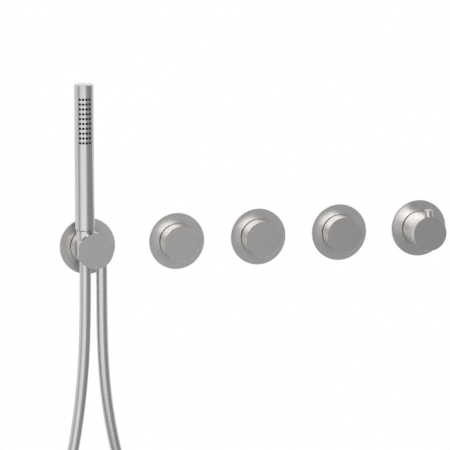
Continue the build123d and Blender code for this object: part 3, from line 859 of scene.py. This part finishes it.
@dataclass
class SoftLight:
    """A large soft lamp aimed at the part."""

    name: str
    azimuth: float
    elevation: float
    distance: float
    width: float
    height: float
    radiance: float
    aim: Point = (MIDDLE_X, 0.0, 0.0)
    spread: float = 180.0

    def build(self) -> bpy.types.Object:
        """Make the lamp; its power is its radiance times pi times its area, if its light spreads all round.

        Returns:
            The lamp, unseen by the camera.
        """
        turn, rise = radians(self.azimuth), radians(self.elevation)
        away = Vector((-sin(turn) * cos(rise), -cos(turn) * cos(rise), sin(rise)))
        data = bpy.data.lights.new(self.name, "AREA")
        data.shape = "RECTANGLE"
        data.size = self.width
        data.size_y = self.height
        data.energy = self.radiance * pi * self.width * self.height
        data.spread = radians(self.spread)
        lamp = bpy.data.objects.new(self.name, data)
        lamp.location = Vector(self.aim) + away * self.distance
        lamp.rotation_mode = "QUATERNION"
        lamp.rotation_quaternion = away.to_track_quat("Z", "Y")
        lamp.visible_camera = False
        bpy.context.scene.collection.objects.link(lamp)
        return lamp


LIGHTS = (
    SoftLight(
        "key_light", azimuth=29.0, elevation=-12.0, distance=3.0,
        width=3.6, height=1.2, radiance=0.46,
    ),
    SoftLight(
        "wide_key_light", azimuth=38.0, elevation=-12.0, distance=3.0,
        width=5.0, height=1.2, radiance=0.46,
    ),
    SoftLight(
        "upper_key_light", azimuth=8.0, elevation=18.0, distance=3.0,
        width=2.3, height=1.2, radiance=2.6,
    ),
    SoftLight(
        "side_light", azimuth=-6.0, elevation=16.0, distance=0.6,
        width=0.24, height=0.18, radiance=0.12, aim=(0.02, 0.0, 0.0), spread=40.0,
    ),
    SoftLight(
        "front_light", azimuth=-12.0, elevation=-8.0, distance=3.0,
        width=0.7, height=2.6, radiance=0.21,
    ),
    SoftLight(
        "rear_light", azimuth=184.0, elevation=20.0, distance=3.0,
        width=1.0, height=0.7, radiance=1.3,
    ),
)


@dataclass
class Studio:
    """A white wall, a pale floor, soft lamps and a plain surrounding."""

    wall_half_width: float = 2.4
    wall_low: float = -0.64
    wall_high: float = 2.0
    floor_half: float = 1.2
    floor_colour: Colour = (0.80, 0.80, 0.79)
    dim: float = 0.475

    def plane(self, name: str, corners: list[Point], material: bpy.types.Material) -> bpy.types.Object:
        """Make a flat backdrop from four corners.

        Args:
            name: The object's name.
            corners: Its corners, in order, seen from the side that shows.
            material: Its material.

        Returns:
            The backdrop.
        """
        mesh = bpy.data.meshes.new(name)
        mesh.from_pydata(corners, [], [(0, 1, 2, 3)])
        mesh.materials.append(material)
        made = bpy.data.objects.new(name, mesh)
        bpy.context.scene.collection.objects.link(made)
        return made

    def wall_material(self) -> bpy.types.Material:
        """White in front to the camera and in mirrors, clear behind, so that the back shows what it holds."""
        made = bpy.data.materials.new("white_wall")
        made.use_nodes = True
        graph = Graph(made.node_tree)
        camera = graph.node("ShaderNodeLightPath", output="Is Camera Ray")
        mirrored = camera.math("MAXIMUM", camera.other("Is Glossy Ray"), camera.other("Is Transmission Ray"))
        seen = camera.math("MAXIMUM", camera, mirrored)
        behind = graph.node("ShaderNodeNewGeometry", output="Backfacing")
        white = graph.node("ShaderNodeEmission", inputs={"Strength": 1.0})
        clear = graph.node("ShaderNodeBsdfTransparent")
        shader = graph.node("ShaderNodeMixShader", inputs={0: seen * (1 - behind), 1: clear, 2: white})
        graph.node("ShaderNodeOutputMaterial", inputs={"Surface": shader})
        return made

    def floor_material(self) -> bpy.types.Material:
        """Pale matt floor."""
        finish = Finish("pale_floor", self.floor_colour, NOT_METAL, 0.7, line_width=4 * MM, tint=0.01)
        return finish.material()

    def build(self) -> None:
        """Set the wall, floor, lamps and surrounding."""
        low, high = self.wall_low, self.wall_high
        left, right = MIDDLE_X - self.wall_half_width, MIDDLE_X + self.wall_half_width
        wall = [(left, 0.0, low), (right, 0.0, low), (right, 0.0, high), (left, 0.0, high)]
        self.plane("white_wall", wall, self.wall_material())
        half = self.floor_half
        left, right = MIDDLE_X - half, MIDDLE_X + half
        floor = [(left, -half, low), (right, -half, low), (right, half, low), (left, half, low)]
        self.plane("pale_floor", floor, self.floor_material())
        for light in LIGHTS:
            light.build()
        self.surrounding()
        bpy.context.scene.view_settings.view_transform = "Standard"

    def surrounding(self) -> None:
        """A plain room of one level all round."""
        world = bpy.data.worlds.new("plain_studio")
        world.use_nodes = True
        bpy.context.scene.world = world
        graph = Graph(world.node_tree)
        background = graph.node("ShaderNodeBackground", inputs={"Strength": self.dim})
        graph.node("ShaderNodeOutputWorld", inputs={"Surface": background})


def main() -> None:
    """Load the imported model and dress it."""
    logging.basicConfig(level=logging.INFO, format="%(name)s: %(message)s")
    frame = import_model()
    dresser = Dresser(frame)
    PhotoCamera().build()
    Hose().build(dresser)
    for n in VALVES:
        StopValve(n).dress(dresser)
    TemperatureControl().dress(dresser)
    HandShower().dress(dresser)
    # Black rings in the gaps behind the knobs and the holder are painted shade that darkens those gaps.
    for n in VALVES:
        GapShadeRing(f"gap_shade_ring_{n}", f"valve_plate_{n}", f"valve_knob_{n}", f"valve_sleeve_{n}").build(dresser)
    GapShadeRing("mixer_gap_shade_ring", "mixer_plate", "temperature_knob", "mixer_sleeve", ring_inset=2.2).build(dresser)
    # The holder has no sleeve: its shade ring has the bore of the valves' shade rings.
    GapShadeRing("holder_gap_shade_ring", "holder_plate", "holder_body", "valve_sleeve_1").build(dresser)
    SprayLips().build(dresser)
    ButtonSpring().build(dresser)
    wall_set = WallSet()
    wall_set.dress(dresser)
    wall_set.threads(dresser, frame["record"]["mounts"])
    Studio().build()


if __name__ == "__main__":
    main()
